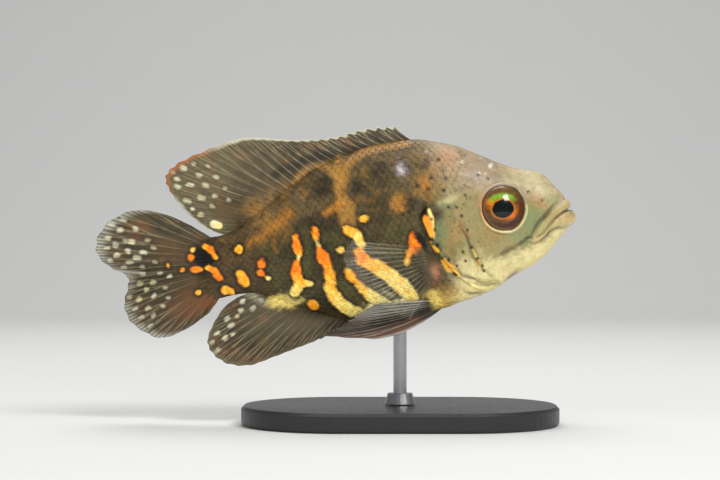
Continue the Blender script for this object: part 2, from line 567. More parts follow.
# Soft blots on the ground colour: place, half-size along and across in px, tilt, colour, strength.
BLOTS = [
    ((545, 190), (34, 16), -40, "snout", 0.85), ((520, 178), (26, 12), -15, "snout", 0.6),
    ((500, 240), (26, 16), 20, "cheek", 0.8), ((478, 215), (22, 22), 0, "cheek", 0.5),
    ((534, 222), (20, 14), -45, "green", 0.85), ((518, 238), (18, 8), -30, "green", 0.7),
    ((552, 203), (12, 8), -30, "green", 0.45), ((538, 203), (10, 7), -20, "rust", 0.16),
    ((448, 205), (13, 6), -5, "green", 0.5), ((440, 235), (9, 15), 0, "green", 0.6),
    ((452, 250), (16, 10), 30, "green", 0.4), ((495, 232), (14, 9), 10, "ochre", 0.3),
    ((452, 240), (10, 20), -10, "ochre", 0.35), ((470, 172), (26, 10), -12, "grey", 0.3),
    ((485, 160), (14, 6), -25, "grey", 0.35), ((440, 170), (22, 14), 0, "ochre", 0.3),
    ((425, 190), (16, 14), 0, "ochre", 0.4), ((449, 157), (12, 9), -25, "pink", 0.16),
    ((449, 200), (11, 4), 20, "chin", 0.4), ((374, 178), (24, 20), 0, "blotch", 0.62),
    ((317, 188), (17, 16), 0, "blotch", 0.75), ((327, 186), (7, 13), 0, "dark", 0.5),
    ((356, 188), (6, 12), 0, "dark", 0.45), ((318, 224), (22, 12), 0, "blotch", 0.55),
    ((378, 213), (15, 18), 0, "blotch", 0.65), ((356, 152), (12, 4), -6, "dark", 0.85),
    ((384, 146), (8, 3), 0, "dark", 0.6), ((322, 156), (12, 4), -10, "dark", 0.6),
    ((290, 170), (12, 6), -25, "dark", 0.7), ((274, 228), (24, 12), -30, "ochre", 0.35),
    ((256, 208), (12, 9), -30, "ochre", 0.45), ((232, 255), (30, 20), 0, "peduncle", 0.8),
    ((398, 204), (8, 11), -25, "amber", 0.6), ((424, 183), (6, 10), -15, "amber", 0.5),
    ((401, 170), (6.5, 9), 20, "scar", 0.85), ((400, 170), (3.4, 5.5), 20, "white", 0.35),
    ((380, 262), (30, 14), 25, "flank", 0.55), ((330, 262), (44, 18), 20, "dark", 0.4),
    ((300, 250), (30, 16), 0, "dark", 0.3), ((440, 292), (22, 9), 12, "ochre", 0.4),
    ((433, 297), (8, 8), 0, "straw", 0.45), ((417, 285), (8, 12), 0, "blotch", 0.5),
    ((284, 301), (19, 8), 8, "straw", 0.75), ((372, 308), (26, 5), 0, "cream", 0.6),
    ((484, 287), (18, 6), -12, "straw", 0.95), ((325, 305), (18, 12), 0, "dark", 0.5),
    ((307, 258), (6, 22), 0, "olive", 0.6), ((345, 288), (9, 15), -30, "olive", 0.6),
    ((392, 258), (16, 9), 20, "olive", 0.5), ((272, 246), (12, 12), 0, "olive", 0.5),
    ((333, 240), (9, 12), 0, "olive", 0.6), ((280, 280), (12, 12), 0, "olive", 0.4),
    ((395, 232), (14, 10), 0, "olive", 0.35), ((395, 300), (20, 10), 10, "cream", 0.55),
    ((486, 288), (22, 6), -10, "cream", 0.6), ((245, 282), (18, 8), 0, "peduncle", 0.6),
]
# Broad strokes over them: places, radii in px, colour, edge in px, strength.
OCHRE_TREE = [
    ([(340, 151), (338, 166), (340, 180), (341, 196), (346, 210), (348, 224), (352, 232)],
     [4, 4, 5, 6, 9, 7.5, 5], "ochre", 6, 0.88),
    ([(344, 182), (346, 169), (352, 160), (362, 154), (376, 148), (392, 146), (408, 144)],
     [4, 4.4, 4.6, 4.4, 4.6, 4, 3], "ochre", 6, 0.75),
    ([(337, 176), (327, 168), (317, 164), (308, 166), (300, 174), (294, 182)], [4.6, 4.2, 4, 4, 3.4, 2.6],
     "ochre", 6, 0.75),
    ([(340, 205), (333, 209), (326, 214)], [4, 3.4, 2.6], "amber", 6, 0.75),
    ([(352, 206), (362, 198), (372, 202)], [3, 3, 2], "ochre", 6, 0.3),
    ([(288, 186), (284, 200), (288, 212)], [5, 4, 4], "ochre", 9, 0.3),
    ([(250, 244), (262, 236), (273, 228), (283, 221), (291, 213)], [3, 4, 5, 6, 4], "amber", 13, 0.6),
    ([(276, 240), (275, 247), (277, 252)], [2.4, 2, 1.6], "amber", 6, 0.35),
]
# Flames: places, radii in px, and heat from below 0, cream, by 0, straw, to 1, orange with a red core.
FIRE = [
    ([(296.7, 238), (298, 246), (299.6, 253)], [3.2, 4.2, 3.2], [0.8, 1, 0.7]),
    ([(299, 255), (298, 260)], [1.2, 1.2], [0.2, 0.2]),
    ([(297.3, 262.5), (296.5, 270), (297.6, 277)], [3.2, 5, 5], [0.9, 1, 0.9]),
    ([(297.6, 279), (304, 282), (311.7, 283)], [4.6, 4, 2.4], [0.7, 0.4, 0.15]),
    ([(299, 280), (297.5, 287), (295, 293)], [4.6, 4.4, 4], [0.6, 0.3, 0.1]),
    ([(314.5, 228.5), (316, 234), (317.4, 239)], [2.6, 3.2, 2.2], [0.8, 1, 0.6]),
    ([(318, 241), (320, 247)], [0.9, 1.1], [0.1, 0.1]),
    ([(320, 249), (323, 256), (327, 264), (330, 273), (331, 280), (330, 288), (338, 301), (349.5, 309.5),
      (359, 311)], [2.4, 5.6, 4.6, 4.2, 4.6, 5.4, 6.2, 5.6, 4],
     [1, 1, 0.85, 0.6, 0.5, 0.4, 0.25, 0.1, 0.05]),
    ([(346.5, 271), (351, 275), (357, 281), (364, 290), (374, 297), (387, 303)],
     [2.6, 3.6, 3.4, 4.6, 5.6, 5], [0.5, 0.8, 0.55, 0.3, 0.1, -0.1]),
    ([(349, 231), (356, 234)], [5, 5], [0.5, 0.4]), ([(358, 236), (361, 245)], [4, 3.4], [0.25, 0.2]),
    ([(358, 252), (362, 258), (369, 263.5)], [4.4, 5.6, 5.4], [0.7, 0.85, 0.7]),
    ([(371, 264), (380, 268), (389, 275), (399, 284), (411, 296)], [6, 7, 7.6, 7.8, 6],
     [0.6, 0.4, 0.25, 0.15, 0.1]),
    ([(362, 311), (371, 306), (379, 305)], [2, 3, 2], [-0.2, -0.4, -0.4]),
    ([(388, 306), (396, 301), (404, 300)], [2.4, 3.4, 2.4], [-0.4, -0.5, -0.3]),
    ([(205, 247), (211, 249.5), (216, 257)], [2.2, 3.2, 2.6], [0.6, 1, 0.7]),
    ([(193.5, 249.5)], [2.3], [0.4]), ([(191.3, 256.8)], [3.6], [1]),
    ([(193.5, 269.6), (201.5, 269.2)], [2.8, 2.6], [1, 0.9]),
    ([(208.5, 267), (214, 270.5), (219.5, 278.5)], [2.4, 2.6, 2.8], [0.5, 0.9, 1]),
    ([(182.3, 269.6)], [2.5], [0.9]), ([(168, 265.3)], [2], [0.5]), ([(198.5, 292)], [2.6], [0.6]),
    ([(239.2, 249.3)], [4.2], [0.6]),
    ([(241, 273), (243.7, 279), (246, 284)], [3, 4.6, 3.6], [0.5, 0.8, 0.5]),
    ([(225.5, 290.5), (232, 292)], [3.6, 3], [0.6, 0.5]), ([(263, 263)], [4], [1]),
    ([(262, 272.3)], [3.8], [0.95]), ([(268, 277)], [2.4], [0.1]), ([(363.5, 219)], [3.8], [0.5]),
    ([(340.4, 249.6)], [3.4], [0.25]), ([(313.4, 303.6)], [4.8], [0.6]),
    ([(411, 233), (412.5, 241), (414, 247.5)], [0.8, 3.8, 6.2], [1, 1, 1]),
    ([(408, 253), (406.5, 263)], [2.8, 2.2], [0.75, 0.4]),
]
# The gill cover's bar and hem, and the line of the preopercle, as flames.
GILL_FLAMES = [
    ([(427.5, 210.5), (429.5, 218), (431.6, 228), (432.4, 237)], [1.5, 1.9, 1.5, 0.9], [0, 0.05, 0.1, 0.1]),
    ([(424, 219), (427, 227), (429.5, 235)], [3.3, 3.4, 2.6], [0.75, 0.75, 0.6]),
    ([(430, 242), (436, 250)], [1.2, 1.8], [0.3, 0.5]),
    ([(442, 260), (449, 267), (457, 274)], [2.4, 3.8, 2.2], [0.5, 0.4, 0.2]),
    ([(469, 248), (473, 256)], [1.1, 1.6], [0, 0.1]), ([(476, 262), (478, 268)], [2, 1.6], [0.4, 0.1]),
]
# Black marks: places and radii in px.
BLACKS = [
    ([(424, 211), (420.5, 217)], [2.8, 3]), ([(417, 235), (420.5, 241), (424.5, 246)], [2.4, 3.3, 2]),
    ([(430, 239)], [2.2]), ([(436, 244.5)], [2.2]),
]
HEAD_PORES = [
    (429.9, 178.9), (416.3, 187), (426.8, 188.9), (409.5, 199.7), (401.2, 215), (406.7, 213),
    (442.7, 190.8), (443.7, 180.6), (462.8, 196.5), (446.9, 208), (454.5, 208), (459, 217), (465.4, 229.9),
    (429.6, 220), (433.2, 230.5), (436.2, 244.4), (431.3, 243.4), (440.6, 258.4), (447, 258.7),
    (454.6, 264.5), (463.8, 260), (461, 250.8), (469, 247), (475.3, 258), (480.4, 265.3), (482, 270.4),
    (454, 274), (442, 172), (476, 176), (486, 180), (526, 193), (452, 273), (438, 161),
]
LARGE_PORES = (445, 215)  # pores left of this pixel and above it are larger
SPECKED = ((396, 470), (150, 235))  # the columns and rows of the nape that have specks
scatter = np.random.default_rng(41)
NAPE_SPECKS = list(zip(scatter.uniform(*SPECKED[0], 60), scatter.uniform(*SPECKED[1], 60)))
OCELLUS = [(201, 256), (208, 258)]
PREOPERCLE = [(457.5, 222), (462, 231), (466, 240)]
WHITE_FLECKS = [
    ([(480, 156.5), (486, 158)], 1.5), ([(488.5, 167), (490.5, 165)], 1.5),
    ([(459.5, 163), (461.5, 161)], 0.8), ([(426, 152)], 0.9), ([(431, 155)], 0.5),
    ([(476, 173.5), (478, 174)], 0.4), ([(483, 175), (484.5, 174)], 0.5), ([(493, 160), (494, 161)], 0.4),
]


def flood(like, colour):
    return np.zeros(like.shape + (3,)) + colour


def lay(rgb, amount, colour):
    a = np.clip(amount, 0, 1)[..., None]
    return rgb * (1 - a) + colour * a


def brush(rgb, x, z, places_px, radii, colour, edge, strength):
    far, where, _ = along_stroke(x, z, from_photo(places_px))
    radius = spread(radii, where) / PHOTO_SCALE
    soft = edge / PHOTO_SCALE / 2
    return lay(rgb, strength * ease(radius + soft, radius - soft, far), colour)


def flame(rgb, x, z, places_px, radii, heat, strength=0.97, flicker=0.0):
    """A stroke from straw through orange, its hottest parts with a red core."""
    far, where, _ = along_stroke(x, z, from_photo(places_px))
    radius = spread(radii, where) / PHOTO_SCALE
    far = far + 0.12 * flicker
    hot = (spread(heat, where) + 0.22 * flicker)[..., None]
    colour = PAINT["straw"] + (PAINT["cream"] - PAINT["straw"]) * np.clip(-2 * hot, 0, 1)
    colour = colour + (PAINT["yellow"] - colour) * np.clip(2 * hot, 0, 1)
    colour = colour + (PAINT["orange"] - colour) * np.clip(2 * hot - 1, 0, 1)
    core = ease(0.85, 0.15, far / radius)[..., None] * ease(0.6, 1.05, hot)
    colour = colour + (PAINT["ember"] - colour) * 0.75 * core
    return lay(rgb, strength * ease(radius + 0.22, radius - 0.22, far), colour)


def flames(rgb, x, z):
    """Every flame over its dark surround, with the black ocellus at the root of the tail."""
    for places_px, radii, _ in FIRE:
        rgb = brush(rgb, x, z, places_px, np.add(radii, 2.9), PAINT["umber"], 4.6, 0.8)
    rgb = brush(rgb, x, z, OCELLUS, [8, 8.4], PAINT["black"], 3.4, 0.98)
    flicker = noise(np.stack([x, z, 0 * x], -1), 0.55, 29)
    for places_px, radii, heat in FIRE:
        rgb = flame(rgb, x, z, places_px, radii, heat, flicker=flicker)
    return rgb


def ground_paint(x, z, places, share, head):
    """The plain colours of body and head, with the soft blots over them."""
    body = lay(flood(x, PAINT["flank"]), ease(0.5, 0.92, share), PAINT["back"])
    body = lay(body, ease(0.16, 0.04, share) * ease(-13.0, -6.0, x), PAINT["belly"])
    body = lay(body, 0.8 * ease(-26.0, -33.0, x), PAINT["peduncle"])
    face = lay(flood(x, PAINT["cheek"]), ease(0.55, 0.85, share), PAINT["crown"])
    face = lay(face, ease(0.4, 0.12, share), PAINT["chin"])
    face = lay(face, 0.85 * ease(0.2, 0.04, share) * ease(33.0, 25.0, x), PAINT["throat"])
    rgb = lay(body, head, face)
    ragged = 1 + 0.3 * noise(places, 1.1, 26) + 0.2 * noise(places, 0.5, 27)
    for place, size, tilt, colour, strength in BLOTS:
        cx, cz = from_photo([place])[0]
        turn = math.radians(tilt) - PITCH
        dx, dz = (x - cx) * PHOTO_SCALE, (z - cz) * PHOTO_SCALE
        u = (dx * math.cos(turn) + dz * math.sin(turn)) / size[0]
        v = (-dx * math.sin(turn) + dz * math.cos(turn)) / size[1]
        rgb = lay(rgb, strength * ease(1.25, 0.5, np.hypot(u, v) * ragged), PAINT[colour])
    return rgb


def body_marks(rgb, x, z, places, share, on_body):
    """Patchy mottling of the scaled skin, the ochre branches over it, specks and flames."""
    patch = noise(places, 2.6, 21) + 0.8 * noise(places, 1.1, 22) + 0.5 * noise(places, 0.55, 28)
    dusky = on_body * ease(0.1, 1.1, patch) * ease(0.02, 0.2, share)
    sandy = on_body * ease(0.1, 1.0, -patch) * ease(0.45, 0.8, share)
    rgb = lay(rgb, 0.52 * dusky, PAINT["dark"])
    rgb = lay(rgb, 0.3 * sandy, PAINT["ochre"])
    for places_px, radii, *_ in OCHRE_TREE:
        rgb = brush(rgb, x, z, places_px, np.add(radii, 3.4), PAINT["blotch"] * 0.7, 6, 0.4)
    for places_px, radii, colour, edge, strength in OCHRE_TREE:
        rgb = brush(rgb, x, z, places_px, radii, PAINT[colour], edge, strength)
    speck = noise(places, 0.42, 23) + 0.6 * noise(places, 0.8, 24)
    rgb = rgb * (1 - 0.45 * (on_body * ease(0.3, 1.1, speck))[..., None])
    return flames(rgb, x, z)


def head_marks(rgb, x, y, z, places, head):
    """The gill cover's hem, the cheek's scales, tints, pores and flecks."""
    for places_px, radii in BLACKS:
        rgb = brush(rgb, x, z, places_px, radii, PAINT["black"], 2.4, 0.92)
    for places_px, radii, heat in GILL_FLAMES:
        rgb = brush(rgb, x, z, places_px, np.add(radii, 1.6), PAINT["blotch"], 3, 0.35)
        rgb = flame(rgb, x, z, places_px, radii, heat, 0.85)
    rgb = brush(rgb, x, z, PREOPERCLE, [0.9, 1, 1], PAINT["rust"], 2.4, 0.5)
    scaly = ease(6.5, 9.0, x) * ease(20.0, 17.0, x) * ease(6.0, 3.0, z)
    grooves = ease(0.3, 0.05, cheek_scales(x, z, places))
    rgb = rgb * (1 - 0.14 * (scaly * grooves)[..., None])
    hue = noise(places, 2.4, 25)
    rgb = lay(rgb, 0.16 * head * ease(0.0, 0.9, hue), PAINT["green"] * 0.8)
    rgb = lay(rgb, 0.1 * head * ease(0.0, 0.9, -hue), PAINT["pink"] * 0.8)
    for place in HEAD_PORES:
        radius = 1.45 + 0.5 * (place[0] < LARGE_PORES[0] and place[1] < LARGE_PORES[1])
        rgb = brush(rgb, x, z, [place], radius, PAINT["umber"], 1.8, 0.88)
    for place in NAPE_SPECKS:
        rgb = brush(rgb, x, z, [place], 0.95, PAINT["umber"], 1.8, 0.5)
    off_ridge = ease(1.2, 2.6, np.abs(y))
    for places_px, radius in WHITE_FLECKS:
        rgb = brush(rgb, x, z, places_px, radius, PAINT["white"], 3, 0.65 * off_ridge)
    return rgb


def mouth_marks(rgb, x, z, places):
    """Lips, the line between them, and the shade in the folds of the head."""
    rgb = lay(rgb, 0.6 * ease(0.95, 0.5, along_stroke(x, z, UPPER_LIP)[0]), PAINT["lip"])
    pale_lip = PAINT["lip"] * 0.5 + PAINT["throat"] * 0.3 + PAINT["pink"] * 0.2
    patchy = 0.75 + 0.5 * noise(places, 1.2, 32)
    rgb = lay(rgb, 0.62 * patchy * ease(1.5, 0.5, along_stroke(x, z, LOWER_LIP)[0]), pale_lip)
    rgb = lay(rgb, 0.5 * ease(1.2, 0.3, np.hypot(x - 36.2, (z + 2.2) * 0.8)), PAINT["grey"] * 1.15)
    far, where, _ = along_stroke(x, z, MOUTH)
    shut = (0.34 + 0.5 * ease(0.3, 0.1, where)) * ease(1.0, 0.9, where)
    rgb = lay(rgb, shut * ease(0.3, 0.06, far), PAINT["umber"])
    for places_px, width, height in FOLDS:
        if height < SHADED_FOLD:
            far, where, _ = along_stroke(x, z, from_photo(places_px))
            ends = np.sin(math.pi * np.clip(where, 0.05, 0.95)) ** 0.6
            shade = 0.62 * ends * np.exp(-((far / (width * 0.8)) ** 2))
            rgb = lay(rgb, shade, PAINT["blotch"] * 0.7)
    return rgb


def orbit_marks(rgb, x, z):
    """The pale rim of the orbit, the dark bowl inside it, and the nostril."""
    reach = orbit_reach(x, z)
    rim = ease(0.975, 1.03, reach) * ease(1.17, 1.06, reach)
    level = (EYE["z"] - z) / ORBIT[1]
    tint = np.where(level[..., None] > 0, PAINT["cream"] * 0.85, PAINT["grey"] * 1.25)
    rgb = lay(rgb, rim * (0.45 + 0.35 * np.abs(level)), tint)
    rgb = lay(rgb, 0.35 * rim * ease(-2.5, -4.5, x - EYE["x"]), PAINT["orange"] * 0.8)
    rgb = lay(rgb, ease(1.0, 0.95, reach), PAINT["peduncle"])
    return lay(rgb, 0.5 * ease(0.4, 0.15, from_nostril(x, z)), PAINT["umber"])


def flank_paint(x, y, z):
    """The fish's colours at points of its skin, in linear light."""
    places = np.stack([x, y, z], -1)
    # The left flank's markings are the right one's, shifted and bent so that the two differ.
    left = (y > 0) * ease(*LEFT_BLEND[0], x) * ease(*LEFT_BLEND[1], x)
    x = x + left * (0.9 + 1.6 * noise(places, 9.0, 11)) + 0.28 * noise(places, 1.6, 12)
    z = z + left * 1.4 * noise(places, 8.0, 13) + 0.28 * noise(places, 1.6, 14)
    share = height_share(x, z)
    head = ease(*HEAD_BLEND, x)
    rgb = ground_paint(x, z, places, share, head)
    rgb = body_marks(rgb, x, z, places, share, 1 - 0.65 * head)
    rgb = head_marks(rgb, x, y, z, places, head)
    rgb = mouth_marks(rgb, x, z, places)
    rgb = orbit_marks(rgb, x, z)
    fin_root = np.exp(-(((x - 5.4) / 1.2) ** 2) - ((z + 9.4) / 1.8) ** 2)
    rgb = lay(rgb, 0.6 * fin_root, PAINT["pink"])
    rgb = rgb * (1 + 0.07 * noise(places, 0.5, 31)[..., None])
    return np.clip(1.06 * np.maximum(rgb, 0) ** CONTRAST, 0, 1)


# Building the skin.
RING_NUMBERS = body_rings()
RINGS = len(RING_NUMBERS)
PLAIN = body_grid(RING_NUMBERS)
PLAIN_RELIEF = relief(PLAIN[..., 0], PLAIN[..., 2], np.sign(PLAIN[..., 1]))
SKIN = PLAIN + grid_normals(PLAIN) * PLAIN_RELIEF[..., None]
SKIN_NORMALS = grid_normals(SKIN)


def build_skin(material):
    colours = flank_paint(PLAIN[..., 0], PLAIN[..., 1], PLAIN[..., 2]).reshape(-1, 3)
    colours = np.vstack([colours, colours[0], colours[-1]])
    ends = [SKIN[0].mean(0), SKIN[-1].mean(0)]
    snout = RINGS * SKIN_SIDES
    i, column = np.divmod(np.arange(snout), SKIN_SIDES)
    uv = np.vstack([np.stack([i / RINGS, column / SKIN_SIDES], 1), [0.0, 0.5], [1.0, 0.5]])
    quads = grid_faces(RINGS, SKIN_SIDES, wrap=True, flip=True)
    skin = new_mesh("skin", np.vstack([SKIN.reshape(-1, 3), ends]), quads, colours, uv=uv)
    cap = bmesh.new()
    cap.from_mesh(skin.data)
    cap.verts.ensure_lookup_table()
    for fan in end_fans(RINGS, SKIN_SIDES, snout, snout + 1).tolist():
        cap.faces.new([cap.verts[n] for n in fan]).smooth = True
    cap.normal_update()
    cap.to_mesh(skin.data)
    cap.free()
    ride(skin, material, "skin", "head", "lower_jaw", "gill_cover_right", "gill_cover_left", "torso",
         "caudal_peduncle")


build_skin(painted("Skin", 2600, (0.42, 0.58), 0.35, 0.12, Coat_Weight=0.14, Subsurface_Weight=0.12,
                   Subsurface_Scale=0.001, Subsurface_Radius=(1.0, 0.5, 0.3)))


# Scales.
def side_columns(side):
    """The skin grid's columns down one side, from the back to the belly."""
    quarter = SKIN_SIDES // 4
    steps = np.arange(SKIN_SIDES // 2 + 1)
    return (quarter + steps) % SKIN_SIDES if side == "right" else (quarter - steps) % SKIN_SIDES


class Flank:
    """One side of the skin, addressed by length along the waist and by length round the body from it."""

    def __init__(self, side):
        self.side = side
        self.columns = side_columns(side)
        self.points = SKIN[:, self.columns]
        self.normals = SKIN_NORMALS[:, self.columns]
        self.plain = PLAIN[:, self.columns]
        steps = np.linalg.norm(np.diff(self.plain, axis=1), axis=-1)
        length = np.concatenate([np.zeros((RINGS, 1)), np.cumsum(steps, axis=1)], axis=1)
        self.up = length[:, [SKIN_SIDES // 4]] - length
        self.waist = self.plain[:, SKIN_SIDES // 4]
        self.along = np.append(0, np.cumsum(np.linalg.norm(np.diff(self.waist, axis=0), axis=-1)))

    def locate(self, along, up):
        """Ring and column numbers of places along the waist and up from it."""
        ring = np.clip(np.interp(along, self.along, np.arange(RINGS)), 0, RINGS - 1.001)
        i = ring.astype(int)
        column = np.zeros(len(ring))
        for n in range(0, len(ring), AT_ONCE):
            batch = slice(n, n + AT_ONCE)
            rows = self.up[i[batch]]
            target = up[batch, None]
            k = np.clip((rows > target).sum(1) - 1, 0, rows.shape[1] - 2)
            pick = np.arange(len(k))
            high, low = rows[pick, k], rows[pick, k + 1]
            column[batch] = k + np.clip((high - target[:, 0]) / np.maximum(high - low, 1e-9), 0, 1)
        return ring, column

    def at(self, along, up):
        """Point, normal and plain point at places along the waist and up from it."""
        ring, column = self.locate(along, up)
        i = ring.astype(int)
        j = np.clip(column.astype(int), 0, self.points.shape[1] - 2)
        f, g = (ring - i)[:, None], (column - j)[:, None]

        def mix(grid):
            one = grid[i, j] * (1 - g) + grid[i, j + 1] * g
            two = grid[i + 1, j] * (1 - g) + grid[i + 1, j + 1] * g
            return one * (1 - f) + two * f

        normal = mix(self.normals)
        return mix(self.points), normal / np.linalg.norm(normal, axis=-1, keepdims=True), mix(self.plain)

    def on_map(self, along, up):
        """Places on the unwrap of the skin."""
        ring, column = self.locate(along, up)
        turned = column if self.side == "right" else -column
        return np.stack([ring / RINGS, self.columns[0] / SKIN_SIDES + turned / SKIN_SIDES], 1) % 1.0


def scale_places(flank):
    """Where scales may sit along and up one flank, and their size."""
    places = []
    for column in range(SCALE_COLUMNS):
        along = FIRST_SCALE + column * SCALE_COLUMN / 2
        x = float(np.interp(along, flank.along, flank.waist[:, 0]))
        taper = 0.62 + 0.38 * float(ease(-38.0, -8.0, x))
        ring = int(np.interp(along, flank.along, np.arange(RINGS)))
        for row in range(-SCALE_ROWS, SCALE_ROWS + 1):
            up = row * SCALE_ROW * taper
            inside = flank.up[ring, -1] + 0.4 <= up <= flank.up[ring, 0] - 0.5
            if (row + column) % 2 == 0 and inside:
                places.append((along, up, taper))
    return np.array(places).T


def has_scale(where):
    """Whether a scale grows here: behind the gill opening and clear of the pectoral fin's root."""
    x, z = where[:, 0], where[:, 2]
    far, _, sign = along_stroke(x, z, GILL_OPENING)
    ragged_start = SCALES_START_X + 1.8 * noise(where, 3.0, 71)
    behind_gill = (x < ragged_start) & ((far * sign < -0.9) | (z > 6.5))
    near_fin = np.hypot((x - 4.6) / 1.6, (z + 7.3) / 3.4) < 1
    return behind_gill & ~near_fin & (x > SCALES_END_X)


def scale_faces(side):
    """One scale's faces, how many of them are its outer face, and the numbers of its rim."""
    n = SCALE_GRID
    rim = [i * n for i in range(n)] + [(n - 1) * n + j for j in range(1, n)]
    rim += [i * n + n - 1 for i in range(n - 2, -1, -1)] + list(range(n - 2, 0, -1))
    rim = np.array(rim)
    under = n * n + np.arange(len(rim))
    walls = np.stack([rim, np.roll(rim, -1), np.roll(under, -1), under], 1)
    floor = [[under[0], under[i], under[i + 1], under[i + 2]] for i in range(1, len(rim) - 2, 2)]
    edges = np.vstack([walls, floor])
    sheet = grid_faces(n, n, flip=side == "right")
    return np.vstack([sheet, edges if side == "left" else edges[:, ::-1]]), len(sheet), rim


def build_scales(side, material):
    flank = Flank(side)
    along, up, size = scale_places(flank)
    jitter = np.random.default_rng(7 if side == "right" else 8)
    along = along + jitter.normal(0, 0.05, len(along))
    up = up + jitter.normal(0, 0.04, len(up))
    where = flank.at(along, up)[2]
    x = where[:, 0]
    keep = has_scale(where)
    along, up, size = along[keep], up[keep], size[keep]
    count = len(along)
    n = SCALE_GRID
    # Each scale: s runs from its root to its free end, w across it.
    s, w = np.meshgrid(np.linspace(0, 1, n), np.linspace(-1, 1, n), indexing="ij")
    s, w = s.ravel(), w.ravel()
    half = np.sqrt(np.clip(1 - ((s - 0.4) / 0.68) ** 2, 0.05, 1))
    bow = 0.16 * (1 - w * w) * s
    lift = (SCALE_LIFT + SCALE_SUNK) * np.minimum(1, s * 1.5) - SCALE_SUNK + 0.03 * (1 - w * w)
    lift = lift - 0.02 * ease(0.75, 1.0, s)
    flatter = 0.035 * ease(4.0, 13.0, x[keep])[:, None] * s
    tilt = jitter.normal(0, 0.012, (count, 1))
    a = along[:, None] + size[:, None] * SCALE_LENGTH * (s - 0.5 + bow)
    b = up[:, None] + size[:, None] * SCALE_WIDTH / 2 * w * half
    point, normal, base = flank.at(a.ravel(), b.ravel())
    height = ((lift - flatter + tilt * w) * size[:, None]).reshape(-1, 1)
    template, outer, rim = scale_faces(side)
    top = (point + normal * height).reshape(count, n * n, 3)
    under = (point + normal * (height - SCALE_THICKNESS)).reshape(count, n * n, 3)[:, rim]
    paint = flank_paint(base[:, 0], base[:, 1], base[:, 2]).reshape(count, n * n, 3)
    edge = (0.04 * ease(0.66, 1.0, s) + 0.03 * np.abs(w) ** 3)[:, None]
    tone = jitter.normal(1.0, 0.055, (count, 1, 1))
    paint = paint * (1 - edge) * tone * (1.04 + 0.06 * (1 - s))[:, None]
    colours = np.concatenate([paint, paint[:, rim] * 0.92], axis=1)
    faces = template[None] + np.arange(count)[:, None, None] * (n * n + len(rim))
    patch = np.stack([s - 0.5, w / 2], 1) * SCALE_PATCH
    uv = flank.on_map(along, up)[:, None, :] + np.concatenate([patch, patch[rim]])
    scales = new_mesh(
        "scales_" + side, np.concatenate([top, under], axis=1).reshape(-1, 3),
        faces.reshape(-1, 4), np.clip(colours, 0, 1).reshape(-1, 3), uv=uv.reshape(-1, 2),
        uv_name="OFBake", smooth=np.tile(np.arange(len(template)) < outer, count))
    ride(scales, material, "skin")


scale_finish = painted("Scales", 3000, (0.42, 0.58), 0.25, 0.12, Coat_Weight=0.12)
for side in ("right", "left"):
    build_scales(side, scale_finish)


# Eyes.
def eye_colours(x, y):
    """The eye's colours over its face, x and y being millimetres from its middle."""
    px, py = x - PUPIL_MIDDLE[0], y - PUPIL_MIDDLE[1]
    places = np.stack([x, y, np.zeros_like(x)], -1)
    pupil = np.hypot(px / PUPIL[0], py / PUPIL[1]) + 0.03 * noise(places, 0.7, 51)
    far = np.hypot(x / 4.5, y / 4.65)
    angle = np.arctan2(py, px)
    streak = noise(np.stack([np.cos(angle) * 6, np.sin(angle) * 6, far * 2], -1), 0.5, 52)
    up = np.sin(angle)
    green = ease(0.25, 0.75, up) * ease(1.95, 1.6, pupil) * ease(1.1, 1.25, pupil)
    orange = np.exp(-(((angle + 0.75) / 0.55) ** 2)) * ease(1.6, 1.3, pupil)
    orange = orange + 0.7 * np.exp(-(((angle - 2.6) / 0.3) ** 2)) * ease(2.1, 1.9, pupil)
    rgb = lay(flood(x, PAINT["iris"]), ease(-0.1, 0.9, up), PAINT["iris_top"])
    rgb = lay(rgb, 0.85 * ease(0.0, -0.8, up), PAINT["iris_low"])
    rgb = lay(rgb, 0.85 * ease(1.9, 1.35, pupil), PAINT["iris_olive"])
    rgb = lay(rgb, 0.95 * green, PAINT["iris_green"])
    rgb = lay(rgb, 0.85 * orange, PAINT["iris_orange"])
    rgb = rgb * (1 + 0.35 * streak * ease(1.0, 1.2, pupil))[..., None]
    rgb = lay(rgb, 0.85 * np.exp(-(((pupil - 1.1) / 0.075) ** 2)), PAINT["iris_ring"])
    rgb = lay(rgb, 0.6 * ease(0.78, 0.95, far), PAINT["iris_rim"])
    rgb = lay(rgb, 0.5 * ease(0.9, 0.97, far), PAINT["iris_edge"])
    return np.clip(lay(rgb, ease(1.04, 0.97, pupil), PAINT["pupil"]), 0, 1)


